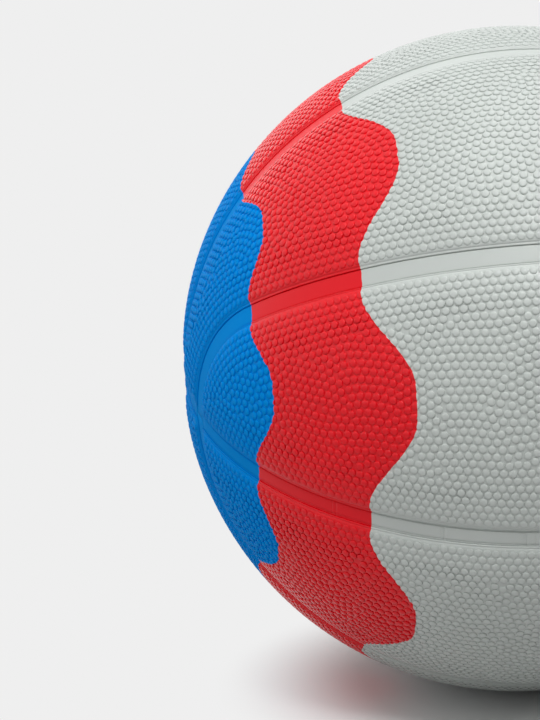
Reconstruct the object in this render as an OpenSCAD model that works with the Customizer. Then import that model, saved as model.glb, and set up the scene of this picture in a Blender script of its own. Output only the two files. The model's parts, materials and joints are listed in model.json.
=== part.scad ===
// Inflatable basketball, built up as the real one is: an air bladder with its valve, a thread
// winding, a rubber carcass, eight cover panels and the strips that line the seams between them.
// The poles of the seam pattern lie on X, the front loop faces -Y and the valve faces +Y.

/* [Ball] */
// Diameter over the pebbles
ball_d = 240; // [230:1:250]
// How far the ball has rolled about its poles, front downwards
lie_roll = 19; // [-45:1:45]

/* [Seams] */
// Width of a seam between two panel edges
seam_w = 6; // [5.5:0.25:10]
// Dark crease between a seam strip and a panel edge
crease = 0.1; // [0.05:0.05:0.3]
// Thickness of a seam strip
strip_t = 0.6; // [0.4:0.1:1.2]
// Angle from the level seam to a loop's straight side
loop_angle = 45; // [40:1:50]
// Angle from the middle of a loop to the centre of its round end
loop_end = 45; // [42:1:50]
// Width of the smooth lip along a panel's edge
lip_w = 1.3; // [0.8:0.1:3]
// How far the lip lies below the pebble tops
lip_drop = 1.5; // [0.6:0.1:1.6]

/* [Wall] */
// Thickness of a cover panel
cover_t = 2.6; // [2.2:0.1:4]
// Thickness of the rubber carcass
carcass_t = 0.7; // [0.5:0.1:1.5]
// Thickness of the thread winding
winding_t = 0.5; // [0.4:0.1:1.2]
// Thickness of the air bladder
bladder_t = 0.8; // [0.5:0.1:1.5]
// Bond line between two layers
bond = 0.05; // [0.02:0.01:0.1]

/* [Valve] */
// Diameter of the valve core's head
core_d = 4.6; // [4:0.1:5]
// Length of the valve core's head
core_head_len = 6; // [4:0.5:10]
// Diameter of the valve core's stem
core_stem_d = 3.4; // [3:0.1:3.8]
// Length of the whole valve core
core_len = 20; // [15:0.5:26]
// How far the core's face lies below the seam floor
core_recess = 0.2; // [0.1:0.1:0.5]
// Radial clearance around the core
core_clear = 0.05; // [0.02:0.01:0.1]
// Diameter of the needle hole
needle_d = 1.9; // [1.5:0.1:2.5]
// Width of the funnel at the mouth of the needle hole
funnel_d = 2.4; // [2.2:0.1:3]
// Diameter of the valve housing
housing_d = 13; // [11:0.5:16]
// How far the housing reaches past the core's tip
housing_past = 1; // [0.5:0.5:3]
// Diameter of the housing's flange
flange_d = 34; // [26:1:44]
// Thickness of the housing's flange
flange_t = 1.2; // [0.8:0.1:2]
// Diameter of the patch over the flange
patch_d = 42; // [30:1:60]

/* [Hidden] */
$fn = 144;
// Radii of the layers, from the outside in
top_r = ball_d / 2;
lip_r = top_r - lip_drop;
cover_in_r = top_r - cover_t;
floor_r = cover_in_r + strip_t;
carcass_r = cover_in_r - bond;
winding_r = carcass_r - carcass_t - bond;
bladder_r = winding_r - winding_t - bond;
air_r = bladder_r - bladder_t;
flange_r = air_r - bond;
// Half widths of a seam, to the panel's edge and to the strip's edge
seam_half = seam_w / 2;
strip_half = seam_half - crease;
// A length that reaches past the ball from its centre
reach = ball_d;
// Angular radius of a loop's round end, which touches both straight sides
end_radius = asin(cos(loop_end) * sin(loop_angle));
// The round ends are this much wider, so that they run into the sides at a small angle
end_blend = 0.1;
// Overlap of a panel's two layers
layer_overlap = lip_drop / 2;
// Places along the valve's axis
core_top = floor_r - core_recess;
core_seat = core_top - core_head_len;
core_tip = core_top - core_len;
housing_tip = core_tip - housing_past;
mouth_d = core_d + 2 * core_clear;
housing_hole_d = housing_d + 2 * bond;
// Colours
panel_colour = [0.78, 0.81, 0.80];
strip_colour = [0.70, 0.73, 0.72];
rubber_colour = [0.12, 0.12, 0.13];
thread_colour = [0.88, 0.86, 0.78];
bladder_colour = [0.20, 0.20, 0.22];
valve_colour = [0.25, 0.25, 0.27];

// Direction of the point where a loop, grown by an angle, passes from side to round end
function end_centre() = [sin(loop_end), -cos(loop_end), 0];
function side_normal() = [0, sin(loop_angle), cos(loop_angle)];
function end_side() = (side_normal() + sin(end_radius) * end_centre()) / cos(end_radius);
function touch(grow) =
    cos(end_radius + grow) * end_centre() + sin(end_radius + grow) * end_side();

// Turns the seam pattern to the way the ball lies
module lie() rotate([lie_roll, 0, 0]) children();

// Hollow ball between two radii
module shell(inner, outer) {
    difference() {
        sphere(outer);
        sphere(inner);
    }
}

// Everything above a height
module above(height) translate([-reach, -reach, height]) cube([2 * reach, 2 * reach, reach]);

// Everything in front of a plane that lies a distance before the centre
module before(distance)
    translate([-reach, -reach - distance, -reach]) cube([2 * reach, reach, 2 * reach]);

// Everything on the left
module leftwards() translate([-reach, -reach, -reach]) cube([reach, 2 * reach, 2 * reach]);

// Slab about the level seam's plane
module level_slab(half) cube([2 * reach, 2 * reach, 2 * half], center = true);

// Slab about the upright seam's plane
module upright_slab(half) cube([2 * reach, 2 * half, 2 * reach], center = true);

// Wedge that opens towards the front, as an outline in X and Y drawn out along Z
module front_wedge(half_angle, apex)
    linear_extrude(2 * reach, center = true)
        polygon([
            [0, apex],
            [-reach * tan(half_angle), apex - reach],
            [reach * tan(half_angle), apex - reach]
        ]);

// What lies inside the front loop's line, with the line moved outwards by a distance
module inside_loop(move) {
    grow = asin(move / floor_r);
    turn = touch(grow);
    end_angle = end_radius + grow + end_blend;
    intersection() {
        rotate([0, 90, 0]) front_wedge(loop_angle, move / sin(loop_angle));
        front_wedge(atan2(turn[0], -turn[1]), 0);
    }
    for (side = [-1, 1])
        rotate([0, 0, side * loop_end]) rotate([90, 0, 0])
            cylinder(h = reach, r1 = 0, r2 = reach * tan(end_angle));
}

// One layer of a panel inside the front loop, above the level seam
module loop_panel_layer(inset, inner, outer)
    intersection() {
        shell(inner, outer);
        above(inset);
        inside_loop(-inset);
    }

// Panel inside the front loop, above the level seam
module loop_panel() {
    loop_panel_layer(seam_half, cover_in_r, lip_r);
    loop_panel_layer(seam_half + lip_w, lip_r - layer_overlap, top_r);
}

// One layer of a panel between the front loop and the upright seam
module crown_panel_layer(inset, inner, outer)
    difference() {
        intersection() {
            shell(inner, outer);
            above(inset);
            before(inset);
        }
        inside_loop(inset);
    }

// Panel between the front loop and the upright seam, above the level seam
module crown_panel() {
    crown_panel_layer(seam_half, cover_in_r, lip_r);
    crown_panel_layer(seam_half + lip_w, lip_r - layer_overlap, top_r);
}

// Shell that the seam strips are cut from
module strip_shell() shell(cover_in_r, floor_r);

// Level strip across the inside of the front loop
module level_strip_in_loop()
    intersection() {
        strip_shell();
        level_slab(strip_half);
        inside_loop(-seam_half);
    }

// Level strip over the left pole, between the two loops
module level_strip_at_pole()
    difference() {
        intersection() {
            strip_shell();
            level_slab(strip_half);
            leftwards();
        }
        inside_loop(seam_half);
        mirror([0, 1, 0]) inside_loop(seam_half);
    }

// Upper half of the strip along the front loop
module loop_strip()
    difference() {
        intersection() {
            strip_shell();
            above(0);
            inside_loop(strip_half);
        }
        inside_loop(-strip_half);
    }

// Upright strip over the top, from pole to pole, cut from a shell whose own axis lies across it
module upright_strip()
    intersection() {
        rotate([90, 0, 0]) strip_shell();
        upright_slab(strip_half);
        above(seam_half);
    }

// Rod along the valve's axis, between two distances from the ball's centre
module valve_rod(d, from, to)
    translate([0, from, 0]) rotate([-90, 0, 0]) cylinder(h = to - from, d = d);

// Cone that guides the needle in, with its wall at 45 degrees to the valve's axis
module valve_funnel()
    translate([0, core_top - funnel_d / 2, 0]) rotate([-90, 0, 0])
        cylinder(h = funnel_d, r1 = 0, r2 = funnel_d);

// Layer of the wall with a round hole at the valve
module pierced_shell(inner, outer, hole_d)
    difference() {
        shell(inner, outer);
        valve_rod(hole_d, 0, reach);
    }

module panel_front_upper() color(panel_colour) lie() loop_panel();

module panel_front_lower() color(panel_colour) lie() mirror([0, 0, 1]) loop_panel();

module panel_back_upper() color(panel_colour) lie() mirror([0, 1, 0]) loop_panel();

module panel_back_lower() color(panel_colour) lie() rotate([180, 0, 0]) loop_panel();

module panel_top_front() color(panel_colour) lie() crown_panel();

module panel_bottom_front() color(panel_colour) lie() mirror([0, 0, 1]) crown_panel();

module panel_top_back() color(panel_colour) lie() mirror([0, 1, 0]) crown_panel();

module panel_bottom_back() color(panel_colour) lie() rotate([180, 0, 0]) crown_panel();

module seam_level_front() color(strip_colour) lie() level_strip_in_loop();

// The strip that the valve comes through
module seam_level_back()
    color(strip_colour) lie()
        difference() {
            mirror([0, 1, 0]) level_strip_in_loop();
            valve_rod(mouth_d, 0, reach);
        }

module seam_level_left() color(strip_colour) lie() level_strip_at_pole();

module seam_level_right() color(strip_colour) lie() mirror([1, 0, 0]) level_strip_at_pole();

module seam_loop_front_upper() color(strip_colour) lie() loop_strip();

module seam_loop_front_lower() color(strip_colour) lie() mirror([0, 0, 1]) loop_strip();

module seam_loop_back_upper() color(strip_colour) lie() mirror([0, 1, 0]) loop_strip();

module seam_loop_back_lower() color(strip_colour) lie() rotate([180, 0, 0]) loop_strip();

module seam_upright_top() color(strip_colour) lie() upright_strip();

module seam_upright_bottom() color(strip_colour) lie() mirror([0, 0, 1]) upright_strip();

// Moulded rubber layer that the panels and strips are bonded to
module carcass()
    color(rubber_colour) lie() pierced_shell(carcass_r - carcass_t, carcass_r, housing_hole_d);

// Thread wound over the bladder in every direction, which stops at the patch
module thread_winding()
    color(thread_colour) lie()
        pierced_shell(winding_r - winding_t, winding_r, patch_d + 2 * bond);

module bladder() color(bladder_colour) lie() pierced_shell(air_r, bladder_r, housing_hole_d);

// Disc over the bladder around the valve, as thick as the winding that stops at it
module valve_patch()
    color(rubber_colour) lie()
        intersection() {
            pierced_shell(winding_r - winding_t, winding_r, housing_hole_d);
            valve_rod(patch_d, 0, reach);
        }

// Rubber tube with a flange that is bonded to the inside of the bladder
module valve_housing()
    color(valve_colour) lie()
        difference() {
            union() {
                intersection() {
                    sphere(carcass_r);
                    valve_rod(housing_d, housing_tip, reach);
                }
                intersection() {
                    shell(flange_r - flange_t, flange_r);
                    valve_rod(flange_d, 0, reach);
                }
            }
            valve_rod(mouth_d, core_seat, reach);
            valve_rod(core_stem_d + 2 * core_clear, 0, reach);
        }

// Self-sealing plug with the needle hole, which sits on a step in the housing
module valve_core()
    color(valve_colour) lie()
        difference() {
            union() {
                valve_rod(core_d, core_seat, core_top);
                valve_rod(core_stem_d, core_tip, core_top);
            }
            valve_rod(needle_d, 0, reach);
            valve_funnel();
        }

panel_front_upper();
panel_front_lower();
panel_back_upper();
panel_back_lower();
panel_top_front();
panel_top_back();
panel_bottom_front();
panel_bottom_back();
seam_level_front();
seam_level_back();
seam_level_left();
seam_level_right();
seam_loop_front_upper();
seam_loop_front_lower();
seam_loop_back_upper();
seam_loop_back_lower();
seam_upright_top();
seam_upright_bottom();
carcass();
thread_winding();
bladder();
valve_patch();
valve_housing();
valve_core();
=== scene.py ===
import json
import math

import bmesh
import bpy
import numpy as np
from mathutils import Matrix, Vector
from mathutils.geometry import delaunay_2d_cdt
from mathutils.kdtree import KDTree


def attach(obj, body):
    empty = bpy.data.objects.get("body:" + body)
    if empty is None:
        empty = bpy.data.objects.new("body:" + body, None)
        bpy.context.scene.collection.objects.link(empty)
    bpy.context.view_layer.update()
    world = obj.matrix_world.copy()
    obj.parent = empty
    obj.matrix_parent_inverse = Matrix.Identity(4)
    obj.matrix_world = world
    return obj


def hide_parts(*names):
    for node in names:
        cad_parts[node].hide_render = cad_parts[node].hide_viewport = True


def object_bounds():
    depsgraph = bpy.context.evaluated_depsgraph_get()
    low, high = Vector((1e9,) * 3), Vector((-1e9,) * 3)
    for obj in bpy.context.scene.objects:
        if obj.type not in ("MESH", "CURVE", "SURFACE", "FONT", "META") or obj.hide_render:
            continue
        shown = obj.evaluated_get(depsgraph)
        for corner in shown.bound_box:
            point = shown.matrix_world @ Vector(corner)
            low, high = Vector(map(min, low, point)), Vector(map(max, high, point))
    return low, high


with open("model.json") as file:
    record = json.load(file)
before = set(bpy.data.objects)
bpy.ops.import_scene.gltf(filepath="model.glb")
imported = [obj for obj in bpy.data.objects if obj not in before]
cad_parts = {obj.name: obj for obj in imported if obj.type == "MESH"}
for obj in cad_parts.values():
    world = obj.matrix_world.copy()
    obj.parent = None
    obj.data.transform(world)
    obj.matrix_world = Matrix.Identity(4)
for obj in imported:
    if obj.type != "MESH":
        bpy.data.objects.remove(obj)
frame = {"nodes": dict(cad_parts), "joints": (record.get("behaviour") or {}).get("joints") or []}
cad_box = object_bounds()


def srgb(red, green, blue):
    """Linear colour from a colour as it is seen on a screen, 0 to 255."""
    def linear(value):
        share = value / 255
        return share / 12.92 if share <= 0.04045 else ((share + 0.055) / 1.055) ** 2.4
    return (linear(red), linear(green), linear(blue), 1.0)


# Sizes that the frame gives, in metres and radians
MM = 0.001
TOP_R = (cad_box[1].z - cad_box[0].z) / 2
VALVE_AXIS = Vector(frame["joints"][0]["axis"])
LIE_ROLL = math.atan2(VALVE_AXIS.z, VALVE_AXIS.y)

# Sockets of nodes that hold several of one name
RANDOM_FROM, RANDOM_TO, RANDOM_RESULT = 2, 3, 1
MIX_FACTOR, MIX_FIRST, MIX_SECOND, MIX_RESULT = 0, 6, 7, 2

# Seam pattern: a level ring, an upright ring and two loops
SEAM_HALF = 3.0 * MM
LOOP_ANGLE = math.radians(45)
LOOP_END = math.radians(45)
END_RADIUS = math.asin(math.cos(LOOP_END) * math.sin(LOOP_ANGLE))

# Wall
COVER_IN = TOP_R - 2.6 * MM
FLOOR_R = COVER_IN + 0.6 * MM

# Panel edge: distance from the crease and depth below the pebble tops, over the ledge and the shoulder
PANEL_EDGE = [
    (0.00 * MM, 1.95 * MM),
    (0.06 * MM, 1.72 * MM),
    (0.14 * MM, 1.64 * MM),
    (0.42 * MM, 1.62 * MM),
    (0.50 * MM, 1.66 * MM),
    (0.56 * MM, 1.70 * MM),
    (0.82 * MM, 1.66 * MM),
    (0.92 * MM, 1.46 * MM),
    (1.15 * MM, 1.30 * MM),
    (1.60 * MM, 1.20 * MM),
    (2.70 * MM, 1.06 * MM),
    (4.00 * MM, 0.91 * MM),
    (5.20 * MM, 0.79 * MM),
    (7.70 * MM, 0.63 * MM),
    (10.5 * MM, 0.50 * MM),
    (14.0 * MM, 0.42 * MM),
    (18.0 * MM, 0.39 * MM),
]

# How finely the panels are divided, along their edges, over their tops and inside
LAST_RING = 8.0 * MM
EDGE_STEP = 2.2 * MM
FIELD_STEP = 6.5 * MM
INSIDE_STEP = 11.0 * MM

# Turn of the level edge of a loop panel and of each one of a crown panel, by which their steps are counted
LEVEL_TURN = 2.6
SHORT_TURN = 0.2

# Half the length and half the breadth of a panel's flat map, in radians
CHART_REACH = 1.6
CHART_RISE = 0.5

# Triangles are made only inside a panel's outline
FILL_INSIDE = 1
FILL_TOLERANCE = 1e-9

# Pebbles
PEBBLE_WIDTH = 2.82 * MM
PEBBLE_HEIGHT = 0.50 * MM
PEBBLE_SINK = 0.08 * MM
PEBBLE_SIDES = 10
PEBBLE_ROUNDS = 3
PEBBLE_VARIATION = 0.04
RIM_STEEPNESS = 0.80
TOP_FLATNESS = 0.66
UNDERSIDE = -0.5

# Pebbles are lower beside the seams, over this many rows
EDGE_RISE = 0.80
EDGE_RISE_ROWS = 2

# Pebble rows: the outer ones follow the seams, the inner ones turn round whorls
EDGE_PITCH = 2.82 * MM
EDGE_ROWS = 5
FIRST_ROW = 2.70 * MM
ROW_PITCH = 2.52 * MM
RING_PITCH = 2.58 * MM
FIELD_PITCH = 2.98 * MM
CLOSEST = 2.50 * MM
WIDEST_GAP = 2.00 * MM
GAP_STEP = 1.0 * MM
RINGS = 28
WHORL_OVERLAP = 0.4

# Lines that the rows follow: how finely they are divided, and how far they turn
ROW_POINTS = 6000
ROW_LEVEL_TURN = 1.4
ROW_POLE_FROM = 1.0
ROW_POLE_TO = 1.57
ROW_SLACK = 0.02 * MM

# How the pebbles are shaken, the ones beside the seams less, and then push each other apart
LOOP_SEED = 11
CROWN_SEED = 31
JITTER = 0.05
EDGE_JITTER = 0.2
RELAX_STEPS = 36
NEIGHBOURS = 8
NEIGHBOUR_STEPS = 6
OWN_NEARNESS = -2
LEAST_GAP = 1e-6
PUSH = 0.22
SLOPE_PROBE = 0.2 * MM

# Whorls on each kind of panel: angle from the ball's middle and angle above the level seam, in degrees
WHORLS = {
    "loop": [(0, 14), (15, 12), (30, 14), (44.4, 10.4), (56.5, 14.2)],
    "crown": [(8.6, 66.5), (35.1, 66.2), (59.7, 52.9)],
}

# Seam strip, across: distance from the middle and depth below the seam floor
STRIP_EDGE = [
    (1.60 * MM, 0.00 * MM),
    (2.50 * MM, 0.01 * MM),
    (2.72 * MM, 0.04 * MM),
    (2.82 * MM, 0.12 * MM),
    (2.88 * MM, 0.28 * MM),
    (2.98 * MM, 0.32 * MM),
]

# Level strips: a bead along each edge, with a deep groove at the upper edge and a shallow one at the lower
GROOVED_EDGE = [
    (1.60 * MM, 0.00 * MM),
    (1.78 * MM, 0.01 * MM),
    (1.86 * MM, 0.10 * MM),
    (1.94 * MM, 0.02 * MM),
    (2.04 * MM, 0.00 * MM),
    (2.12 * MM, 0.03 * MM),
    (2.18 * MM, 0.48 * MM),
    (2.24 * MM, 0.54 * MM),
    (2.98 * MM, 0.54 * MM),
]
SHALLOW_EDGE = [
    (1.60 * MM, 0.00 * MM),
    (2.28 * MM, 0.01 * MM),
    (2.36 * MM, 0.18 * MM),
    (2.46 * MM, 0.26 * MM),
    (2.54 * MM, 0.05 * MM),
    (2.62 * MM, 0.00 * MM),
    (2.76 * MM, 0.01 * MM),
    (2.86 * MM, 0.06 * MM),
    (2.92 * MM, 0.22 * MM),
    (2.98 * MM, 0.24 * MM),
]
STRIP_STEP = 2.5 * MM
POLE_STRIP_TURN = 0.5

# Splices of the front level strip: angle from the ball's middle, and the gap between the two lines
SPLICES = [
    (math.radians(-37.6), 1.5 * MM),
    (math.radians(-19.2), 1.2 * MM),
    (math.radians(-5.5), 2.8 * MM),
]
SPLICE_HALF = 0.14 * MM
SPLICE_DEPTH = 0.16 * MM

# Valve plug and its mouth in the back level strip
PLUG_TOP = TOP_R - 2.2 * MM
PLUG_TIP = PLUG_TOP - 20.0 * MM
PLUG_SHOULDER = PLUG_TOP - 6.0 * MM
PLUG_HEAD_R = 2.3 * MM
PLUG_STEM_R = 1.7 * MM
NEEDLE_R = 0.95 * MM
FUNNEL_R = 1.2 * MM
FUNNEL_DEPTH = 0.25 * MM
MOUTH_R = 2.35 * MM
MOUTH_CHAMFER = 0.2 * MM
PLUG_CHAMFER = 0.2 * MM
TURNED_SIDES = 48
SHARP_ANGLE = math.radians(35)
SLIVER = 0.005 * MM

# Printed bands, as angles from the middle of the ball towards its poles
BLUE_TROUGH = math.radians(53.7)
BLUE_BULGE = math.radians(48.5)
RED_TROUGH = math.radians(30.8)
RED_BULGE = math.radians(22.6)
WAVE_HALF = math.radians(22.5)
WAVE_FROM = math.radians(3)
WAVE_TO = math.radians(20)

# Edges of the bands: how soft they are, and how they wobble
BAND_SOFTNESS = 0.0009
WOBBLE = 0.006
WOBBLE_NOISE = (420, 1)

# Print, and the thin coat over it
GREY_PRINT = srgb(211, 217, 213)
RED_PRINT = srgb(245, 13, 31)
BLUE_PRINT = srgb(0, 148, 236)
BLACK = (0.0, 0.0, 0.0, 1.0)
PRINT_ROUGHNESS = (0.5, 0.7)
PRINT_TONE = 0.06
PRINT_GRAIN_DEPTH = 0.06 * MM
COAT, BLUE_COAT, COAT_IOR = 1.0, 0.12, 1.33
PEBBLE_COAT_ROUGHNESS = 0.22
STRIP_COAT_ROUGHNESS = 0.40
PEBBLE_GRAIN = 0.2
STRIP_GRAIN = 0.4

# Painted shade in the valleys: how far down it begins and ends, and how much darker it makes the colour
PEBBLE_SHADE_DEPTHS = (0.20 * MM, 0.75 * MM)
STRIP_SHADE_DEPTHS = (0.05 * MM, 0.40 * MM)
VALLEY_PAINTED_SHADE = 0.03

# Rubber's grain: the scale and detail of each noise, and the range that its values fill
FINE_NOISE = (3200, 2)
BROAD_NOISE = (900, 2)
BROAD_SHARE = 0.6
TONE_NOISE = (28, 4)
GRAIN_RANGE = (0.3, 1.3)
TONE_RANGE = (0.3, 0.7)

# Unprinted rubber
PLAIN_TONE = 0.25
PLAIN_PALER = 1.6
PLAIN_SMOOTHER, PLAIN_ROUGHER = 0.06, 0.08
PLAIN_GRAIN = 0.3
PLAIN_GRAIN_DEPTH = 0.05 * MM

# Inner finishes: colour and roughness
CARCASS_FINISH = ((0.02, 0.02, 0.022, 1), 0.6)
THREAD_FINISH = ((0.7, 0.66, 0.52, 1), 0.8)
BLADDER_FINISH = ((0.03, 0.03, 0.035, 1), 0.45)
VALVE_FINISH = ((0.04, 0.04, 0.045, 1), 0.5)
CORE_FINISH = ((0.05, 0.05, 0.05, 1), 0.4)

# Light: each lamp's way to it, how much it gives a surface that faces it, and how broad it looks
KEY_WAY, KEY_LEVEL, KEY_BREADTH = Vector((0.40, -0.14, 0.90)), 0.71, math.radians(70)
LEFT_WAY, LEFT_LEVEL, LEFT_BREADTH = Vector((-1.0, 0.05, 0.1)), 0.68, math.radians(160)
ABOVE_WAY, ABOVE_LEVEL, ABOVE_BREADTH = Vector((0.05, -0.62, 0.78)), 0.18, math.radians(10)
AMBIENT = (0.01, 0.01, 0.01, 1.0)

# Floor: its colour in the light that it throws back and to the eye, and where it fades into the background
PALE = srgb(239, 239, 239)
FLOOR_BOUNCE = (0.41, 0.41, 0.41, 1.0)
FLOOR_LIT = (0.95, 0.95, 0.95, 1.0)
FADE_NEAR, FADE_FAR = 0.055, 0.115
FLOOR_HALF = 8.0

# Photograph
IMAGE_W, IMAGE_H = 540, 720
BALL_PX, BALL_PY = 510.35, 358.55
LENS, SENSOR = 104.667, 36.0
CAMERA_DISTANCE = 0.769
CAMERA_TURN = math.radians(-1.843)
CAMERA_TILT = math.radians(9.781)
CAMERA_ROLL = math.radians(-2.512)

SEAM_TURN = np.array(Matrix.Rotation(LIE_ROLL, 3, "X"))
END_CENTRE = np.array([math.sin(LOOP_END), -math.cos(LOOP_END), 0.0])
END_TIP = np.array([math.cos(LOOP_END), math.sin(LOOP_END), 0.0])
SIDE_NORMAL = np.array([0.0, math.sin(LOOP_ANGLE), math.cos(LOOP_ANGLE)])
SIDE_MIDDLE = np.array([0.0, -math.cos(LOOP_ANGLE), math.sin(LOOP_ANGLE)])
END_SIDE = (SIDE_NORMAL + math.sin(END_RADIUS) * END_CENTRE) / math.cos(END_RADIUS)
END_PAST = np.cross(END_CENTRE, SIDE_NORMAL)
END_PAST = END_PAST * np.sign(END_PAST @ END_TIP)
END_TURN = math.atan2(END_SIDE[2], END_SIDE @ END_TIP)
TOUCH = math.cos(END_RADIUS) * END_CENTRE + math.sin(END_RADIUS) * END_SIDE
SIDE_REACH = math.atan2(TOUCH[0], TOUCH @ SIDE_MIDDLE)
END_REACH = END_TURN * math.sin(END_RADIUS)
LOOP_REACH = SIDE_REACH + END_REACH


def directions(x, y, z):
    return np.stack(np.broadcast_arrays(x, y, z), axis=-1)


def level_line(turn, lateral):
    """Directions beside the level seam, at a turn from the front and an angle above the seam."""
    return directions(np.cos(lateral) * np.sin(turn), -np.cos(lateral) * np.cos(turn), np.sin(lateral))


def upright_line(turn, lateral):
    """Directions beside the upright seam, at a turn from the top and an angle in front of the seam."""
    return directions(np.cos(lateral) * np.sin(turn), -np.sin(lateral), np.cos(lateral) * np.cos(turn))


def loop_line(along, lateral):
    """Directions beside the front loop's upper half, from its left tip, -1, to its right tip, 1."""
    along, lateral = np.broadcast_arrays(np.asarray(along, float), np.asarray(lateral, float))
    arc = np.abs(along) * LOOP_REACH
    side = np.minimum(arc, SIDE_REACH)[..., None]
    lateral = lateral[..., None]
    on_side = np.cos(side) * SIDE_MIDDLE + np.sin(side) * np.array([1.0, 0.0, 0.0])
    on_side = np.cos(lateral) * on_side + np.sin(lateral) * SIDE_NORMAL
    turn = END_TURN * (LOOP_REACH - arc[..., None]) / END_REACH
    spoke = np.cos(turn) * END_TIP + np.sin(turn) * np.array([0.0, 0.0, 1.0])
    on_end = np.cos(END_RADIUS + lateral) * END_CENTRE + np.sin(END_RADIUS + lateral) * spoke
    line = np.where(arc[..., None] > SIDE_REACH, on_end, on_side)
    line[..., 0] *= np.where(along < 0, -1.0, 1.0)
    return line


def loop_angle(n):
    """Angle outwards from the nearest loop."""
    folded = np.abs(n) * np.array([1.0, -1.0, 1.0])
    from_end = np.arccos(np.clip(folded @ END_CENTRE, -1, 1)) - END_RADIUS
    from_side = np.arcsin(np.clip(folded @ SIDE_NORMAL, -1, 1))
    return np.where(folded @ END_PAST > 0, from_end, from_side)


def edge_distance(n, kind):
    """Distance from a panel's edge inwards, along the ball."""
    level = np.arcsin(np.abs(n[..., 2]))
    if kind == "loop":
        angle = np.minimum(level, -loop_angle(n))
    else:
        angle = np.minimum(np.minimum(level, np.arcsin(np.abs(n[..., 1]))), loop_angle(n))
    return angle * FLOOR_R - SEAM_HALF


def panel_depth(distance):
    """Depth of a panel's moulded ground below the pebble tops."""
    return np.interp(distance, [d for d, _ in PANEL_EDGE], [depth for _, depth in PANEL_EDGE])


def steps(length, step):
    return max(2, round(length / step))


def outline(kind, inset):
    """A panel's outline, moved inwards, as directions in turn round the panel."""
    lateral = (SEAM_HALF + inset) / FLOOR_R
    if kind == "loop":
        corner = LOOP_END + math.acos(math.cos(END_RADIUS - lateral) / math.cos(lateral))
        turn = math.asin(math.sin(lateral) / math.sin(END_RADIUS - lateral))
        tip = 1 - turn / END_TURN * END_REACH / LOOP_REACH
        level = np.linspace(-corner, corner, steps(LEVEL_TURN * FLOOR_R, EDGE_STEP))
        loop = np.linspace(tip, -tip, steps(2 * LOOP_REACH * FLOOR_R, EDGE_STEP))
        edges = [level_line(level, lateral), loop_line(loop, -lateral)]
    else:
        corner = LOOP_END + math.acos(math.cos(END_RADIUS + lateral) / math.cos(lateral))
        turn = math.asin(math.sin(lateral) / math.sin(END_RADIUS + lateral))
        tip = 1 - turn / END_TURN * END_REACH / LOOP_REACH
        pole = math.acos(math.tan(lateral))
        short = np.linspace(corner, pole, steps(SHORT_TURN * FLOOR_R, EDGE_STEP))
        loop = np.linspace(-tip, tip, steps(2 * LOOP_REACH * FLOOR_R, EDGE_STEP))
        upright = np.linspace(pole, -pole, steps(math.pi * FLOOR_R, EDGE_STEP))
        edges = [
            loop_line(loop, lateral),
            level_line(short, lateral),
            upright_line(upright, lateral),
            level_line(-short[::-1], lateral),
        ]
    return np.concatenate([edge[:-1] for edge in edges])


def chart_axes(kind):
    """The ways that a panel's flat map looks, and that it goes along and across."""
    middle = WAVE_HALF if kind == "loop" else 3 * WAVE_HALF
    ahead = np.array([0.0, -math.cos(middle), math.sin(middle)])
    across = np.array([0.0, math.sin(middle), math.cos(middle)])
    return ahead, np.array([1.0, 0.0, 0.0]), across


def chart(n, kind):
    """Flat map of a panel: angle along it and angle across it."""
    ahead, _, across = chart_axes(kind)
    return np.stack([np.arctan2(n[..., 0], n @ ahead), np.arcsin(n @ across)], axis=-1)


def from_chart(flat, kind):
    """Directions from places on a panel's flat map."""
    ahead, right, across = chart_axes(kind)
    along, aside = flat[..., 0:1], flat[..., 1:2]
    return np.cos(aside) * (np.cos(along) * ahead + np.sin(along) * right) + np.sin(aside) * across


def in_panel(n, kind, inset):
    """Which directions lie on a panel, no nearer its edge than the inset."""
    inside = edge_distance(n, kind) > inset
    wanted = loop_angle(n) < 0 if kind == "loop" else loop_angle(n) > 0
    return inside & wanted & (n[:, 1] < 0) & (n[:, 2] > 0)


def field_points(kind, step, inset):
    """Directions on a triangular grid over a panel, no nearer its edge than the inset."""
    pitch = step / FLOOR_R
    columns = np.arange(-CHART_REACH, CHART_REACH, pitch)
    rows = np.arange(-CHART_RISE, CHART_RISE, pitch * math.sqrt(3) / 2)
    along, aside = np.meshgrid(columns, rows)
    along = along + (np.arange(len(rows)) % 2)[:, None] * pitch / 2
    n = from_chart(np.stack([along.ravel(), aside.ravel()], axis=-1), kind)
    return n[in_panel(n, kind, inset)]


def fill(ring, inner, kind):
    """Triangles over the inside of a ring of directions and the points inside it."""
    flat = chart(np.concatenate([ring, inner]), kind)
    count = len(ring)
    edges = [(i, (i + 1) % count) for i in range(count)]
    made = delaunay_2d_cdt([Vector(p) for p in flat], edges, [], FILL_INSIDE, FILL_TOLERANCE)
    source = [origin[0] for origin in made[3]]
    return [[source[i] for i in face] for face in made[2]]


def panel_base(kind):
    """A panel's moulded body without pebbles: points in the seam frame, and faces."""
    points, faces = [], []
    edge = [(distance, depth) for distance, depth in PANEL_EDGE if distance < LAST_RING]
    rings = [outline(kind, distance) for distance, _ in edge]
    count = len(rings[0])
    points.append(rings[0] * COVER_IN)
    for ring, (_, depth) in zip(rings, edge):
        points.append(ring * (TOP_R - depth))
    for row in range(len(rings)):
        for i in range(count):
            j = (i + 1) % count
            low, high = row * count, (row + 1) * count
            faces.append([low + i, low + j, high + j, high + i])
    field = field_points(kind, FIELD_STEP, edge[-1][0] + FIELD_STEP / 2)
    first = len(rings) * count
    start = first + count
    for face in fill(rings[-1], field, kind):
        faces.append([first + i if i < count else start + i - count for i in face])
    points.append(field * (TOP_R - panel_depth(edge_distance(field, kind)))[:, None])
    start += len(field)
    inside = field_points(kind, INSIDE_STEP, INSIDE_STEP / 2)
    for face in fill(rings[0], inside, kind):
        faces.append([i if i < count else start + i - count for i in reversed(face)])
    points.append(inside * COVER_IN)
    return np.concatenate(points), faces


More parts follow.
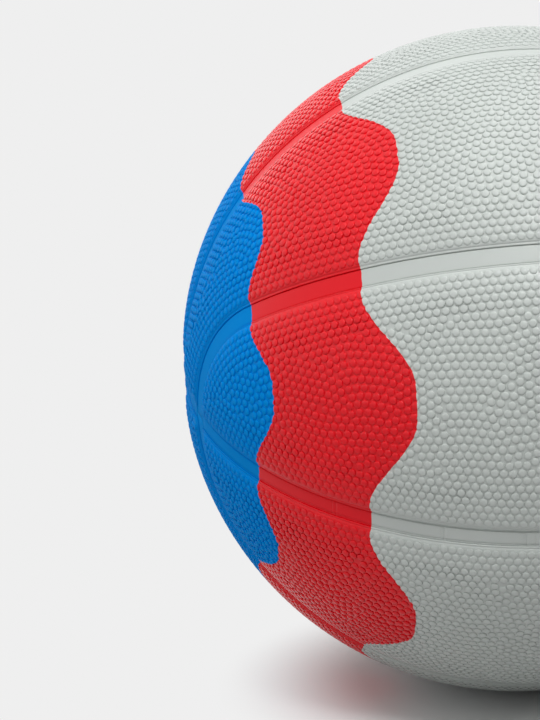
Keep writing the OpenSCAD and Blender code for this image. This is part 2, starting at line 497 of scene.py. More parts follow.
def row_lines(kind, lateral):
    """The lines beside a panel's seams that a row of pebbles can follow, finely divided."""
    fine = np.linspace(-1, 1, ROW_POINTS)
    if kind == "loop":
        return [level_line(fine * ROW_LEVEL_TURN, lateral), loop_line(fine, -lateral)]
    half = np.linspace(ROW_POLE_FROM, ROW_POLE_TO, ROW_POINTS // 4)
    return [
        loop_line(fine, lateral),
        level_line(half, lateral),
        upright_line(fine * ROW_POLE_TO, lateral),
        level_line(-half, lateral),
    ]


def row_runs(line, kept):
    """Unbroken stretches of a line."""
    breaks = np.flatnonzero(np.diff(np.flatnonzero(kept)) > 1)
    return [line[run] for run in np.split(np.flatnonzero(kept), breaks + 1) if len(run) > 1]


def edge_row_places(kind):
    """Pebble places in the rows that follow the seams, each row half a step from the one before it."""
    places = []
    for row in range(EDGE_ROWS):
        inset = FIRST_ROW + row * ROW_PITCH
        offset = EDGE_PITCH / 2 * (row % 2)
        for line in row_lines(kind, (SEAM_HALF + inset) / FLOOR_R):
            kept = edge_distance(line, kind) > inset - ROW_SLACK
            for run in row_runs(line, kept):
                arc = np.cumsum(np.linalg.norm(np.diff(run, axis=0, prepend=run[:1]), axis=1)) * TOP_R
                reach = int(arc[-1] / EDGE_PITCH) + 1
                at = arc[-1] / 2 + offset + np.arange(-reach, reach) * EDGE_PITCH
                at = at[(at > 0) & (at < arc[-1])]
                spots = np.stack([np.interp(at, arc, run[:, k]) for k in range(3)], axis=-1)
                places.append(spots / np.linalg.norm(spots, axis=1, keepdims=True))
    return np.concatenate(places)


def whorl_centres(kind):
    centres = []
    for turn, rise in WHORLS[kind]:
        u, w = math.radians(turn), math.radians(rise)
        for side in (-1, 1) if turn else (1,):
            centres.append((side * math.sin(u), -math.cos(u) * math.cos(w), math.cos(u) * math.sin(w)))
    return np.array(centres)


def ring_places(centre, ring):
    """Evenly spaced places on one circle round a whorl."""
    angle = ring * RING_PITCH / TOP_R
    count = max(1, round(2 * math.pi * math.sin(angle) * TOP_R / FIELD_PITCH))
    turn = (np.arange(count) + 0.5 * (ring % 2)) / count * 2 * math.pi
    side = np.cross(centre, [1.0, 0.0, 0.0])
    side /= np.linalg.norm(side)
    spokes = np.cos(turn)[:, None] * side + np.sin(turn)[:, None] * np.cross(centre, side)
    return math.cos(angle) * centre + math.sin(angle) * spokes


def whorl_places(kind):
    """Pebble places in circles round a panel's whorls, each place with the whorl that is nearest to it."""
    centres = whorl_centres(kind)
    inset = FIRST_ROW + (EDGE_ROWS - WHORL_OVERLAP) * ROW_PITCH
    places = []
    for index, centre in enumerate(centres):
        for ring in range(RINGS):
            spots = ring_places(centre, ring)
            own = np.argmax(spots @ centres.T, axis=1) == index
            places.append(spots[own & in_panel(spots, kind, inset)])
    return np.concatenate(places)


def thinned(places):
    """Drops each place that lies too close to an earlier one."""
    near = places @ places.T > math.cos(CLOSEST / TOP_R)
    kept = np.ones(len(places), bool)
    for index in range(len(places)):
        if kept[index]:
            kept[index + 1:] &= ~near[index, index + 1:]
    return places[kept]


def filled(places, kind):
    """Adds a place in each gap that has room for a pebble, the widest gaps first."""
    lookup = KDTree(len(places))
    for index, place in enumerate(places):
        lookup.insert(place, index)
    lookup.balance()
    spots = field_points(kind, GAP_STEP, FIRST_ROW)
    gaps = np.array([lookup.find(spot)[2] for spot in spots]) * TOP_R
    order = np.argsort(-gaps, kind="stable")
    holes = spots[order[gaps[order] > WIDEST_GAP]]
    return np.concatenate([places, thinned(holes)])


def spread(places, kind, pinned):
    """Pushes pebbles apart until they lie evenly, with the first ones held where they are."""
    reach = FIELD_PITCH / TOP_R
    for step in range(RELAX_STEPS):
        if step % NEIGHBOUR_STEPS == 0:
            nearness = places @ places.T
            np.fill_diagonal(nearness, OWN_NEARNESS)
            near = np.argpartition(-nearness, NEIGHBOURS, axis=1)[:, :NEIGHBOURS]
        apart = places[:, None, :] - places[near]
        gap = np.linalg.norm(apart, axis=2, keepdims=True)
        push = (apart / np.maximum(gap, LEAST_GAP) * np.maximum(0, reach - gap)).sum(axis=1) * PUSH
        push[:pinned] = 0
        moved = places + push
        moved /= np.linalg.norm(moved, axis=1, keepdims=True)
        held = edge_distance(moved, kind) < FIRST_ROW
        moved[held] = places[held]
        places = moved
    return places


def pebble_places(kind, seed):
    """Directions of a panel's pebbles."""
    draw = np.random.default_rng(seed)
    edge = thinned(edge_row_places(kind))
    places = filled(thinned(np.concatenate([edge, whorl_places(kind)])), kind)
    jitter = draw.normal(0, JITTER * FIELD_PITCH / TOP_R, places.shape)
    jitter[:len(edge)] *= EDGE_JITTER
    places = places + jitter
    places /= np.linalg.norm(places, axis=1, keepdims=True)
    places = spread(places, kind, len(edge))
    return spread(filled(places, kind), kind, len(edge))


def outward(places, kind):
    """Where the pebbles stand on the moulded ground, and which way they point."""
    probe = SLOPE_PROBE / TOP_R
    slope = np.zeros_like(places)
    distance = edge_distance(places, kind)
    for axis in range(3):
        shift = np.zeros(3)
        shift[axis] = probe
        beside = places + shift
        beside /= np.linalg.norm(beside, axis=1, keepdims=True)
        fall = panel_depth(edge_distance(beside, kind)) - panel_depth(distance)
        slope[:, axis] = fall / (probe * TOP_R)
    normal = places + slope
    normal /= np.linalg.norm(normal, axis=1, keepdims=True)
    return places * (TOP_R - panel_depth(distance))[:, None], normal


def new_node(kind, tree, **settings):
    node = tree.nodes.new(kind)
    for name, value in settings.items():
        setattr(node, name, value)
    return node


def math_node(tree, operation, *values, clamp=False):
    node = new_node("ShaderNodeMath", tree, operation=operation, use_clamp=clamp)
    for socket, value in zip(node.inputs, values):
        if isinstance(value, (int, float)):
            socket.default_value = value
        else:
            tree.links.new(value, socket)
    return node.outputs[0]


def vector_node(tree, operation, *values):
    node = new_node("ShaderNodeVectorMath", tree, operation=operation)
    for socket, value in zip(node.inputs, values):
        if isinstance(value, (tuple, list)):
            socket.default_value = value
        else:
            tree.links.new(value, socket)
    return node


def pebble_dome(tree, width, height, sink):
    """A dome on a flat round base, from a cone whose points are moved outwards and up."""
    wires = tree.links
    cone = new_node("GeometryNodeMeshCone", tree, fill_type="NGON")
    cone.inputs["Vertices"].default_value = PEBBLE_SIDES
    cone.inputs["Side Segments"].default_value = PEBBLE_ROUNDS
    cone.inputs["Radius Top"].default_value = 0
    cone.inputs["Radius Bottom"].default_value = 1
    place = new_node("GeometryNodeInputPosition", tree)
    split = new_node("ShaderNodeSeparateXYZ", tree)
    wires.new(place.outputs[0], split.inputs[0])
    flat = math_node(tree, "SQRT", math_node(
        tree, "ADD",
        math_node(tree, "MULTIPLY", split.outputs["X"], split.outputs["X"]),
        math_node(tree, "MULTIPLY", split.outputs["Y"], split.outputs["Y"]),
    ))
    arc = math_node(tree, "MULTIPLY", flat, math.pi / 2)
    across = math_node(tree, "POWER", math_node(tree, "SINE", arc), RIM_STEEPNESS)
    up = math_node(tree, "MAXIMUM", math_node(tree, "COSINE", arc), 0.0)
    up = math_node(tree, "POWER", up, TOP_FLATNESS)
    half = math_node(tree, "MULTIPLY", width, 0.5)
    wider = math_node(tree, "MULTIPLY", math_node(tree, "DIVIDE", across, flat), half)
    rise = math_node(tree, "MULTIPLY", up, height)
    dome = new_node("ShaderNodeCombineXYZ", tree)
    wires.new(math_node(tree, "MULTIPLY", split.outputs["X"], wider), dome.inputs["X"])
    wires.new(math_node(tree, "MULTIPLY", split.outputs["Y"], wider), dome.inputs["Y"])
    wires.new(math_node(tree, "SUBTRACT", rise, sink), dome.inputs["Z"])
    shaped = new_node("GeometryNodeSetPosition", tree)
    wires.new(cone.outputs["Mesh"], shaped.inputs["Geometry"])
    wires.new(dome.outputs[0], shaped.inputs["Position"])
    normal = new_node("GeometryNodeInputNormal", tree)
    upward = new_node("ShaderNodeSeparateXYZ", tree)
    wires.new(normal.outputs[0], upward.inputs[0])
    smooth = new_node("GeometryNodeSetShadeSmooth", tree, domain="FACE")
    wires.new(shaped.outputs[0], smooth.inputs["Geometry"])
    wires.new(math_node(tree, "GREATER_THAN", upward.outputs["Z"], UNDERSIDE), smooth.inputs["Selection"])
    return smooth.outputs[0]


def pebble_tree():
    """Geometry Nodes that put a dome on each marked point of a panel and join it to the panel."""
    tree = bpy.data.node_groups.new("pebble_field", "GeometryNodeTree")
    face = tree.interface
    face.new_socket("Panel", in_out="INPUT", socket_type="NodeSocketGeometry")
    for name in ("Pebble Width", "Pebble Height", "Sink", "Size Variation"):
        face.new_socket(name, in_out="INPUT", socket_type="NodeSocketFloat")
    face.new_socket("Seed", in_out="INPUT", socket_type="NodeSocketInt")
    face.new_socket("Finish", in_out="INPUT", socket_type="NodeSocketMaterial")
    face.new_socket("Panel", in_out="OUTPUT", socket_type="NodeSocketGeometry")
    source = new_node("NodeGroupInput", tree)
    wires = tree.links

    marked = new_node("GeometryNodeInputNamedAttribute", tree, data_type="BOOLEAN")
    marked.inputs["Name"].default_value = "pebble"
    parts = new_node("GeometryNodeSeparateGeometry", tree, domain="POINT")
    wires.new(source.outputs["Panel"], parts.inputs["Geometry"])
    wires.new(marked.outputs["Attribute"], parts.inputs["Selection"])

    sizes = source.outputs
    dome = pebble_dome(tree, sizes["Pebble Width"], sizes["Pebble Height"], sizes["Sink"])
    facing = new_node("GeometryNodeInputNamedAttribute", tree, data_type="FLOAT_VECTOR")
    facing.inputs["Name"].default_value = "outward"
    turned = new_node("FunctionNodeAlignRotationToVector", tree, axis="Z")
    wires.new(facing.outputs["Attribute"], turned.inputs["Vector"])
    size = new_node("FunctionNodeRandomValue", tree, data_type="FLOAT")
    low = math_node(tree, "SUBTRACT", 1.0, source.outputs["Size Variation"])
    wires.new(low, size.inputs[RANDOM_FROM])
    size.inputs[RANDOM_TO].default_value = 1.0
    wires.new(source.outputs["Seed"], size.inputs["Seed"])
    shape = new_node("GeometryNodeInputNamedAttribute", tree, data_type="FLOAT_VECTOR")
    shape.inputs["Name"].default_value = "shape"
    scale = new_node("ShaderNodeVectorMath", tree, operation="SCALE")
    wires.new(shape.outputs["Attribute"], scale.inputs["Vector"])
    wires.new(size.outputs[RANDOM_RESULT], scale.inputs["Scale"])
    domes = new_node("GeometryNodeInstanceOnPoints", tree)
    wires.new(parts.outputs["Selection"], domes.inputs["Points"])
    wires.new(dome, domes.inputs["Instance"])
    wires.new(turned.outputs[0], domes.inputs["Rotation"])
    wires.new(scale.outputs[0], domes.inputs["Scale"])

    real = new_node("GeometryNodeRealizeInstances", tree)
    wires.new(domes.outputs[0], real.inputs["Geometry"])
    joined = new_node("GeometryNodeJoinGeometry", tree)
    wires.new(parts.outputs["Inverted"], joined.inputs[0])
    wires.new(real.outputs[0], joined.inputs[0])
    finish = new_node("GeometryNodeSetMaterial", tree)
    wires.new(joined.outputs[0], finish.inputs["Geometry"])
    wires.new(source.outputs["Finish"], finish.inputs["Material"])
    result = new_node("NodeGroupOutput", tree)
    wires.new(finish.outputs[0], result.inputs[0])
    return tree


def closed_mesh(name, points, faces, flip):
    """A mesh in the part's frame from points in the seam frame, each axis mirrored where flip is -1."""
    mesh = bpy.data.meshes.new(name)
    mesh.from_pydata((points * np.array(flip)) @ SEAM_TURN.T, [], faces)
    shaped = bmesh.new()
    shaped.from_mesh(mesh)
    bmesh.ops.recalc_face_normals(shaped, faces=shaped.faces)
    for polygon in shaped.faces:
        polygon.smooth = True
    shaped.to_mesh(mesh)
    shaped.free()
    return mesh


def add_points(mesh, places, normals, shapes):
    """Adds loose points to a mesh, marked as pebbles, with the way they point and their breadth and rise."""
    count = len(mesh.vertices)
    mesh.vertices.add(len(places))
    coords = np.zeros((count + len(places), 3), np.float32)
    mesh.vertices.foreach_get("co", coords.ravel())
    coords[count:] = places
    mesh.vertices.foreach_set("co", coords.ravel())
    marks = np.arange(len(coords)) >= count
    mesh.attributes.new("pebble", "BOOLEAN", "POINT").data.foreach_set("value", marks)
    for name, values in (("outward", normals), ("shape", shapes)):
        vectors = np.zeros_like(coords)
        vectors[count:] = values
        mesh.attributes.new(name, "FLOAT_VECTOR", "POINT").data.foreach_set("vector", vectors.ravel())


def add_piece(name, mesh, material, body, node):
    piece = bpy.data.objects.get(name) or bpy.data.objects.new(name, mesh)
    if piece.name not in bpy.context.scene.collection.objects:
        bpy.context.scene.collection.objects.link(piece)
    if not piece.data.materials:
        piece.data.materials.append(material)
    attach(piece, body)
    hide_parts(node)
    return piece


def run_pebbles(piece, seed, tree, material):
    """Runs the pebbles' nodes on a panel, and leaves the result as the panel's plain mesh."""
    dressed = piece.modifiers.new("pebbles", "NODES")
    dressed.node_group = tree
    inputs = {s.name: s.identifier for s in tree.interface.items_tree if s.in_out == "INPUT"}
    dressed[inputs["Pebble Width"]] = PEBBLE_WIDTH
    dressed[inputs["Pebble Height"]] = PEBBLE_HEIGHT
    dressed[inputs["Sink"]] = PEBBLE_SINK
    dressed[inputs["Size Variation"]] = PEBBLE_VARIATION
    dressed[inputs["Seed"]] = seed
    dressed[inputs["Finish"]] = material
    graph = bpy.context.evaluated_depsgraph_get()
    made = bpy.data.meshes.new_from_object(piece.evaluated_get(graph), depsgraph=graph)
    piece.modifiers.clear()
    mesh = piece.data
    piece.data = made
    bpy.data.meshes.remove(mesh)
    made.name = piece.name
    for attribute in ("pebble", "outward", "shape"):
        if attribute in made.attributes:
            made.attributes.remove(made.attributes[attribute])
    return made


def add_panel(node, kind, base, flip, seed, tree, material):
    """One cover panel with its pebbles, in place of its CAD node."""
    name = node.replace("panel_", "cover_")
    points, faces = base
    mesh = closed_mesh(name, points, faces, flip)
    ways = pebble_places(kind, seed)
    places, normals = outward(ways, kind)
    rows_in = (edge_distance(ways, kind) - FIRST_ROW) / ROW_PITCH
    rise = np.interp(rows_in, [0, EDGE_RISE_ROWS], [EDGE_RISE, 1])
    shapes = directions(1.0, 1.0, rise)
    mirror, turn = np.array(flip), SEAM_TURN.T
    add_points(mesh, (places * mirror) @ turn, (normals * mirror) @ turn, shapes)
    piece = bpy.data.objects.new(name, mesh)
    bpy.context.scene.collection.objects.link(piece)
    made = run_pebbles(piece, seed, tree, material)
    return add_piece(name, made, material, "ball", node)


def level_strip_in_loop(along, lateral):
    reach = LOOP_END + np.arccos(np.cos(END_RADIUS - SEAM_HALF / FLOOR_R) / np.cos(lateral))
    return level_line(along * reach, lateral)


def level_strip_at_pole(along, lateral):
    start = LOOP_END + np.arccos(np.cos(END_RADIUS + SEAM_HALF / FLOOR_R) / np.cos(lateral))
    return level_line(math.pi / 2 + along * (math.pi / 2 - start), lateral)


def upright_strip(along, lateral):
    reach = np.arccos(math.sin(SEAM_HALF / FLOOR_R) / np.cos(lateral))
    return upright_line(along * reach, lateral)


def strip_stations(length, splices):
    """Places along a strip, from -1 to 1, and how far its top dips at each."""
    stations = [(at, 0.0) for at in np.linspace(-1, 1, steps(length, STRIP_STEP))]
    groove = [(-SPLICE_HALF, 0.0), (0.0, SPLICE_DEPTH), (SPLICE_HALF, 0.0)]
    for splice, gap in splices:
        middle = splice * FLOOR_R
        for line in (middle - gap / 2, middle + gap / 2):
            stations += [((line + offset) / (length / 2), dip) for offset, dip in groove]
    stations.sort()
    return np.array(stations)


def strip_mesh(name, line, length, flip, edges=(STRIP_EDGE, STRIP_EDGE), splices=()):
    """A seam strip with rolled edges, closed at its ends."""
    lower, upper = edges
    top = [(-side, depth) for side, depth in reversed(lower)] + upper
    bottom = FLOOR_R - COVER_IN
    profile = top + [(STRIP_EDGE[-1][0], bottom), (-STRIP_EDGE[-1][0], bottom)]
    sides = np.array([side for side, _ in profile]) / FLOOR_R
    radii = FLOOR_R - np.array([depth for _, depth in profile])
    stations = strip_stations(length, splices)
    dips = stations[:, 1:] * (np.arange(len(profile)) < len(top))
    grid = line(stations[:, :1], sides[None, :]) * (radii - dips)[:, :, None]
    count = len(profile)
    faces = []
    for i in range(len(stations) - 1):
        for k in range(count):
            m = (k + 1) % count
            faces.append([i * count + k, i * count + m, (i + 1) * count + m, (i + 1) * count + k])
    last = (len(stations) - 1) * count
    faces.append(list(range(count)))
    faces.append([last + k for k in reversed(range(count))])
    return closed_mesh(name, grid.reshape(-1, 3), faces, flip)


def add_strip(node, mesh, material):
    """One seam strip in place of its CAD node."""
    return add_piece(mesh.name, mesh, material, "ball", node)


def turned_mesh(name, profile, hollow):
    """A closed mesh turned round the valve's line from distances from the line and heights along it."""
    turn = np.arange(TURNED_SIDES) / TURNED_SIDES * 2 * math.pi
    points = [directions(r * np.cos(turn), h, r * np.sin(turn)) for r, h in profile]
    rows = len(profile)
    faces = []
    for row in range(rows if hollow else rows - 1):
        low, high = row * TURNED_SIDES, (row + 1) % rows * TURNED_SIDES
        for i in range(TURNED_SIDES):
            j = (i + 1) % TURNED_SIDES
            faces.append([low + i, low + j, high + j, high + i])
    if not hollow:
        faces.append(list(range(TURNED_SIDES)))
        faces.append([(rows - 1) * TURNED_SIDES + i for i in reversed(range(TURNED_SIDES))])
    mesh = closed_mesh(name, np.concatenate(points), faces, (1, 1, 1))
    mesh.set_sharp_from_angle(angle=SHARP_ANGLE)
    return mesh


def drop_slivers(mesh):
    """Clears the faces without area that a cut leaves."""
    shaped = bmesh.new()
    shaped.from_mesh(mesh)
    bmesh.ops.triangulate(shaped, faces=shaped.faces)
    bmesh.ops.dissolve_degenerate(shaped, dist=SLIVER, edges=shaped.edges)
    bmesh.ops.triangulate(shaped, faces=shaped.faces)
    shaped.to_mesh(mesh)
    shaped.free()


def with_valve_mouth(mesh):
    """A strip's mesh with the valve's mouth cut through it."""
    wide = MOUTH_R + MOUTH_CHAMFER
    profile = [
        (MOUTH_R, COVER_IN - MM),
        (MOUTH_R, FLOOR_R - MOUTH_CHAMFER),
        (wide, FLOOR_R),
        (wide, TOP_R),
    ]
    tool = bpy.data.objects.new("mouth_cutter", turned_mesh("mouth_cutter", profile, hollow=False))
    strip = bpy.data.objects.new("uncut_strip", mesh)
    for thing in (tool, strip):
        bpy.context.scene.collection.objects.link(thing)
    cut = strip.modifiers.new("mouth", "BOOLEAN")
    cut.operation = "DIFFERENCE"
    cut.solver = "EXACT"
    cut.object = tool
    graph = bpy.context.evaluated_depsgraph_get()
    made = bpy.data.meshes.new_from_object(strip.evaluated_get(graph), depsgraph=graph)
    name = mesh.name
    for thing in (tool, strip):
        bpy.data.objects.remove(thing)
    bpy.data.meshes.remove(bpy.data.meshes["mouth_cutter"])
    bpy.data.meshes.remove(mesh)
    made.name = name
    drop_slivers(made)
    made.set_sharp_from_angle(angle=SHARP_ANGLE)
    return made


def add_valve_plug(material):
    """The valve's rubber plug with its needle hole, in place of its CAD node."""
    c = PLUG_CHAMFER
    profile = [
        (NEEDLE_R, PLUG_TIP),
        (PLUG_STEM_R - c, PLUG_TIP),
        (PLUG_STEM_R, PLUG_TIP + c),
        (PLUG_STEM_R, PLUG_SHOULDER),
        (PLUG_HEAD_R - c, PLUG_SHOULDER),
        (PLUG_HEAD_R, PLUG_SHOULDER + c),
        (PLUG_HEAD_R, PLUG_TOP - c),
        (PLUG_HEAD_R - c, PLUG_TOP),
        (FUNNEL_R, PLUG_TOP),
        (NEEDLE_R, PLUG_TOP - FUNNEL_DEPTH),
    ]
    mesh = turned_mesh("valve_plug", profile, hollow=True)
    add_piece("valve_plug", mesh, material, "core", "valve_core")


def new_group(name, inputs, outputs):
    """A shader node group with named sockets: its tree, its inputs and its outputs."""
    tree = bpy.data.node_groups.new(name, "ShaderNodeTree")
    for label, kind, value in inputs:
        socket = tree.interface.new_socket(label, in_out="INPUT", socket_type=kind)
        if value is not None:
            socket.default_value = value
    for label, kind in outputs:
        tree.interface.new_socket(label, in_out="OUTPUT", socket_type=kind)
    return tree, new_node("NodeGroupInput", tree).outputs, new_node("NodeGroupOutput", tree).inputs


def map_range(tree, value, low, high, first, last, smooth=False):
    node = new_node("ShaderNodeMapRange", tree, clamp=True)
    node.interpolation_type = "SMOOTHSTEP" if smooth else "LINEAR"
    for socket, setting in zip(node.inputs, (value, low, high, first, last)):
        if isinstance(setting, (int, float)):
            socket.default_value = setting
        else:
            tree.links.new(setting, socket)
    return node.outputs[0]


def noise(tree, vector, scale, detail):
    node = new_node("ShaderNodeTexNoise", tree)
    node.inputs["Scale"].default_value = scale
    node.inputs["Detail"].default_value = detail
    tree.links.new(vector, node.inputs["Vector"])
    return node.outputs["Fac"]


def printed_bands_group():
    """Masks of the two printed bands, whose waved edges keep step with the seams."""
    tree, given, out = new_group(
        "printed_bands",
        [("Place", "NodeSocketVector", None), ("Edge Softness", "NodeSocketFloat", BAND_SOFTNESS)],
        [("Blue", "NodeSocketFloat"), ("Red", "NodeSocketFloat")],
    )
    turned = new_node("ShaderNodeMapping", tree, vector_type="POINT")
    turned.inputs["Rotation"].default_value = (-LIE_ROLL, 0, 0)
    tree.links.new(given["Place"], turned.inputs["Vector"])
    unit = vector_node(tree, "NORMALIZE", turned.outputs[0])
    split = new_node("ShaderNodeSeparateXYZ", tree)
    tree.links.new(unit.outputs[0], split.inputs[0])
    wobble = math_node(tree, "SUBTRACT", noise(tree, given["Place"], *WOBBLE_NOISE), 0.5)
    toward_pole = math_node(tree, "ARCSINE", math_node(tree, "ABSOLUTE", split.outputs["X"]))
    toward_pole = math_node(tree, "MULTIPLY_ADD", wobble, WOBBLE, toward_pole)
    ahead = math_node(tree, "MULTIPLY", split.outputs["Y"], -1)
    round_pole = math_node(tree, "ARCTAN2", split.outputs["Z"], ahead)
    wave = math_node(tree, "PINGPONG", round_pole, WAVE_HALF)
    wave = map_range(tree, wave, WAVE_FROM, WAVE_TO, 0, 1, smooth=True)
    for name, trough, bulge in (("Blue", BLUE_TROUGH, BLUE_BULGE), ("Red", RED_TROUGH, RED_BULGE)):
        edge = math_node(tree, "MULTIPLY_ADD", wave, bulge - trough, trough)
        past = math_node(tree, "SUBTRACT", toward_pole, edge)
        past = math_node(tree, "DIVIDE", past, given["Edge Softness"])
        mask = math_node(tree, "ADD", past, 0.5, clamp=True)
        tree.links.new(mask, out[name])
    return tree


def rubber_grain_group():
    """Fine moulded grain of rubber: a height, and a slow change of tone."""
    tree, given, out = new_group(
        "rubber_grain",
        [("Place", "NodeSocketVector", None)],
        [("Height", "NodeSocketFloat"), ("Tone", "NodeSocketFloat")],
    )
    fine = noise(tree, given["Place"], *FINE_NOISE)
    broad = noise(tree, given["Place"], *BROAD_NOISE)
    tree.links.new(math_node(tree, "MULTIPLY_ADD", broad, BROAD_SHARE, fine), out["Height"])
    tree.links.new(noise(tree, given["Place"], *TONE_NOISE), out["Tone"])
    return tree


def new_material(name):
    """A material with a Principled shader: its tree, its shader and its place on the object."""
    material = bpy.data.materials.new(name)
    material.use_nodes = True
    tree = material.node_tree
    place = new_node("ShaderNodeTexCoord", tree).outputs["Object"]
    return material, tree, tree.nodes["Principled BSDF"], place


def mix_colour(tree, factor, first, second, blend="MIX"):
    node = new_node("ShaderNodeMix", tree, data_type="RGBA", blend_type=blend, clamp_factor=True)
    for index, value in ((MIX_FACTOR, factor), (MIX_FIRST, first), (MIX_SECOND, second)):
        if isinstance(value, (int, float, tuple)):
            node.inputs[index].default_value = value
        else:
            tree.links.new(value, node.inputs[index])
    return node.outputs[MIX_RESULT]


def use_group(tree, group, place):
    node = new_node("ShaderNodeGroup", tree, node_tree=group)
    tree.links.new(place, node.inputs["Place"])
    return node


def grain_bump(tree, shader, height, strength, depth):
    bump = new_node("ShaderNodeBump", tree)
    bump.inputs["Strength"].default_value = strength
    bump.inputs["Distance"].default_value = depth
    tree.links.new(height, bump.inputs["Height"])
    tree.links.new(bump.outputs["Normal"], shader.inputs["Normal"])


def printed_rubber(name, bands, grain, top, shade_depths, coat_roughness, grain_strength):
    """Rubber printed in three bands under a thin coat, with painted shade that darkens it where it lies low.
    """
    material, tree, shader, place = new_material(name)
    shader.inputs["Specular IOR Level"].default_value = 0.0
    shader.inputs["Coat IOR"].default_value = COAT_IOR
    shader.inputs["Coat Roughness"].default_value = coat_roughness
    band = use_group(tree, bands, place)
    fine = use_group(tree, grain, place)
    colour = mix_colour(tree, band.outputs["Red"], GREY_PRINT, RED_PRINT)
    colour = mix_colour(tree, band.outputs["Blue"], colour, BLUE_PRINT)
    coat = map_range(tree, band.outputs["Blue"], 0, 1, COAT, BLUE_COAT)
    tree.links.new(coat, shader.inputs["Coat Weight"])
    # Painted shade: the colour is darkened where the surface lies low, between the pebbles and in the
    # creases, where shade falls
    height = vector_node(tree, "LENGTH", place).outputs["Value"]
    low = map_range(tree, height, top - shade_depths[1], top - shade_depths[0], 1, 0, smooth=True)
    low = math_node(tree, "MULTIPLY", low, VALLEY_PAINTED_SHADE)
    colour = mix_colour(tree, low, colour, colour, blend="MULTIPLY")
    tone = map_range(tree, fine.outputs["Tone"], *TONE_RANGE, 0.0, PRINT_TONE)
    colour = mix_colour(tree, tone, colour, BLACK)
    tree.links.new(colour, shader.inputs["Base Color"])
    rough = map_range(tree, fine.outputs["Height"], *GRAIN_RANGE, *PRINT_ROUGHNESS)
    tree.links.new(rough, shader.inputs["Roughness"])
    grain_bump(tree, shader, fine.outputs["Height"], grain_strength, PRINT_GRAIN_DEPTH)
    return material


def plain_rubber(name, grain, finish):
    """Unprinted rubber of the inner pieces."""
    material, tree, shader, place = new_material(name)
    colour, roughness = finish
    fine = use_group(tree, grain, place)
    tone = map_range(tree, fine.outputs["Tone"], *TONE_RANGE, 0.0, PLAIN_TONE)
    paler = tuple(min(1.0, c * PLAIN_PALER) for c in colour[:3]) + (1.0,)
    tree.links.new(mix_colour(tree, tone, colour, paler), shader.inputs["Base Color"])
    smoothest, roughest = roughness - PLAIN_SMOOTHER, roughness + PLAIN_ROUGHER
    rough = map_range(tree, fine.outputs["Height"], *GRAIN_RANGE, smoothest, roughest)
    tree.links.new(rough, shader.inputs["Roughness"])
    grain_bump(tree, shader, fine.outputs["Height"], PLAIN_GRAIN, PLAIN_GRAIN_DEPTH)
    return material


def seen_ray(tree):
    """1 for rays from the camera and from mirror-like surfaces, 0 for rays that gather light."""
    path = new_node("ShaderNodeLightPath", tree).outputs
    seen = math_node(tree, "ADD", path["Is Camera Ray"], path["Is Glossy Ray"])
    return math_node(tree, "ADD", seen, path["Is Transmission Ray"], clamp=True)


def mix_shaders(tree, factor, first, second):
    node = new_node("ShaderNodeMixShader", tree)
    tree.links.new(factor, node.inputs[0])
    tree.links.new(first, node.inputs[1])
    tree.links.new(second, node.inputs[2])
    return node.outputs[0]


def diffuse(tree, colour):
    node = new_node("ShaderNodeBsdfDiffuse", tree)
    node.inputs["Color"].default_value = colour
    return node.outputs[0]


def floor_paper():
    """Pale paper that keeps the shadow near the ball and fades into the pale background."""
    material = bpy.data.materials.new("floor_paper")
    material.use_nodes = True
    tree = material.node_tree
    tree.nodes.remove(tree.nodes["Principled BSDF"])
    place = new_node("ShaderNodeTexCoord", tree).outputs["Object"]
    away = vector_node(tree, "LENGTH", vector_node(tree, "MULTIPLY", place, (1, 1, 0)).outputs[0])
    share = map_range(tree, away.outputs["Value"], FADE_NEAR, FADE_FAR, 0.0, 1.0, smooth=True)
    glow = new_node("ShaderNodeEmission", tree)
    glow.inputs["Color"].default_value = PALE
    seen = mix_shaders(tree, share, diffuse(tree, FLOOR_LIT), glow.outputs[0])
    paper = mix_shaders(tree, seen_ray(tree), diffuse(tree, FLOOR_BOUNCE), seen)
    tree.links.new(paper, tree.nodes["Material Output"].inputs["Surface"])
    return material


def add_floor():
    mesh = bpy.data.meshes.new("floor")
    h, z = FLOOR_HALF, cad_box[0].z
    mesh.from_pydata([(-h, -h, z), (h, -h, z), (h, h, z), (-h, h, z)], [], [(0, 1, 2, 3)])
    mesh.materials.append(floor_paper())
    floor = bpy.data.objects.new("floor", mesh)
    bpy.context.scene.collection.objects.link(floor)


def add_lamp(name, way, level, breadth):
    lamp = bpy.data.lights.new(name, "SUN")
    lamp.energy = level * math.pi
    lamp.angle = breadth
    held = bpy.data.objects.new(name, lamp)
    held.rotation_euler = way.to_track_quat("Z", "Y").to_euler()
    bpy.context.scene.collection.objects.link(held)


def add_light():
    """A pale room with three lamps: broad above right, very broad on the left and small above the camera."""
    world = bpy.data.worlds.new("studio")
    bpy.context.scene.world = world
    world.use_nodes = True
    tree = world.node_tree
    sky = tree.nodes["Background"]
    tree.links.new(mix_colour(tree, seen_ray(tree), AMBIENT, PALE), sky.inputs["Color"])
    add_lamp("key", KEY_WAY, KEY_LEVEL, KEY_BREADTH)
    add_lamp("left", LEFT_WAY, LEFT_LEVEL, LEFT_BREADTH)
    add_lamp("above", ABOVE_WAY, ABOVE_LEVEL, ABOVE_BREADTH)


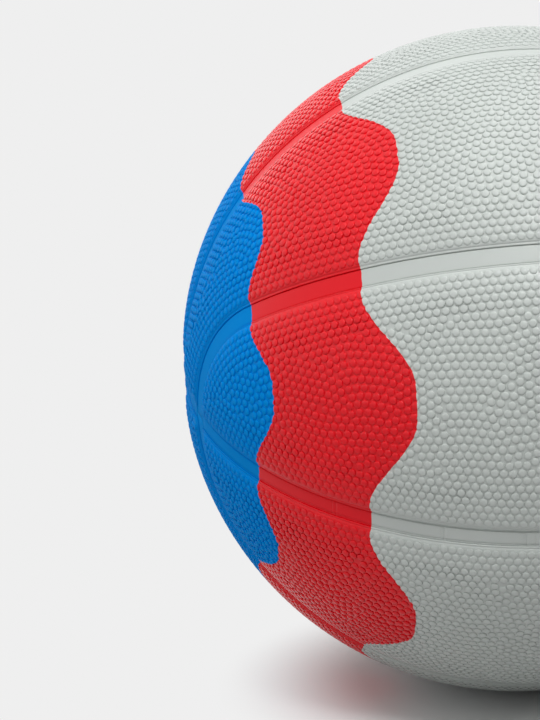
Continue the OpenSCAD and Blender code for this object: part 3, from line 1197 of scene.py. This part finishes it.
def add_camera():
    cos, sin = math.cos, math.sin
    back = Vector((
        sin(CAMERA_TURN) * cos(CAMERA_TILT),
        -cos(CAMERA_TURN) * cos(CAMERA_TILT),
        sin(CAMERA_TILT),
    ))
    level = Vector((0, 0, 1)).cross(back).normalized()
    right = level * cos(CAMERA_ROLL) + back.cross(level) * sin(CAMERA_ROLL)
    up = back.cross(right)
    focal = LENS / SENSOR * IMAGE_H
    sight = right * (BALL_PX - IMAGE_W / 2) / focal - up * (BALL_PY - IMAGE_H / 2) / focal - back
    data = bpy.data.cameras.new("camera")
    data.lens = LENS
    data.sensor_width = SENSOR
    camera = bpy.data.objects.new("camera", data)
    turned = Matrix((right, up, back)).transposed().to_4x4()
    camera.matrix_world = Matrix.Translation(-sight.normalized() * CAMERA_DISTANCE) @ turned
    bpy.context.scene.collection.objects.link(camera)
    bpy.context.scene.camera = camera


bpy.context.scene.view_settings.view_transform = "Standard"
add_camera()
add_light()
add_floor()

bands = printed_bands_group()
grain = rubber_grain_group()
cover = printed_rubber(
    "cover_rubber", bands, grain, TOP_R, PEBBLE_SHADE_DEPTHS, PEBBLE_COAT_ROUGHNESS, PEBBLE_GRAIN
)
strip = printed_rubber(
    "seam_rubber", bands, grain, FLOOR_R, STRIP_SHADE_DEPTHS, STRIP_COAT_ROUGHNESS, STRIP_GRAIN
)
pebbles = pebble_tree()

loop_base = panel_base("loop")
crown_base = panel_base("crown")
quarters = [
    ("front", "upper", 1, 1),
    ("front", "lower", 1, -1),
    ("back", "upper", -1, 1),
    ("back", "lower", -1, -1),
]
for number, (face, level, y, z) in enumerate(quarters):
    flip = (1, y, z)
    add_panel(f"panel_{face}_{level}", "loop", loop_base, flip, LOOP_SEED + number, pebbles, cover)
    half = "top" if z > 0 else "bottom"
    add_panel(f"panel_{half}_{face}", "crown", crown_base, flip, CROWN_SEED + number, pebbles, cover)
    loop = strip_mesh(f"strip_loop_{face}_{level}", loop_line, 2 * LOOP_REACH * FLOOR_R, flip)
    add_strip(f"seam_loop_{face}_{level}", loop, strip)
level_length = 2 * (LOOP_END + END_RADIUS) * FLOOR_R - 2 * SEAM_HALF
level_edges = (SHALLOW_EDGE, GROOVED_EDGE)
front = strip_mesh("strip_level_front", level_strip_in_loop, level_length, (1, 1, 1), level_edges, SPLICES)
add_strip("seam_level_front", front, strip)
back = strip_mesh("strip_level_back", level_strip_in_loop, level_length, (1, -1, 1), level_edges)
add_strip("seam_level_back", with_valve_mouth(back), strip)
pole_length = POLE_STRIP_TURN * FLOOR_R
for face, x in (("right", 1), ("left", -1)):
    end = strip_mesh(f"strip_level_{face}", level_strip_at_pole, pole_length, (x, 1, 1), level_edges)
    add_strip(f"seam_level_{face}", end, strip)
for face, z in (("top", 1), ("bottom", -1)):
    upright = strip_mesh(f"strip_upright_{face}", upright_strip, math.pi * FLOOR_R, (1, 1, z))
    add_strip(f"seam_upright_{face}", upright, strip)

inner_finishes = {
    "carcass": plain_rubber("carcass_rubber", grain, CARCASS_FINISH),
    "thread_winding": plain_rubber("thread", grain, THREAD_FINISH),
    "bladder": plain_rubber("bladder_rubber", grain, BLADDER_FINISH),
    "valve_patch": plain_rubber("valve_rubber", grain, VALVE_FINISH),
}
inner_finishes["valve_housing"] = inner_finishes["valve_patch"]
for node, finish in inner_finishes.items():
    frame["nodes"][node].material_slots[0].material = finish
add_valve_plug(plain_rubber("valve_core_rubber", grain, CORE_FINISH))
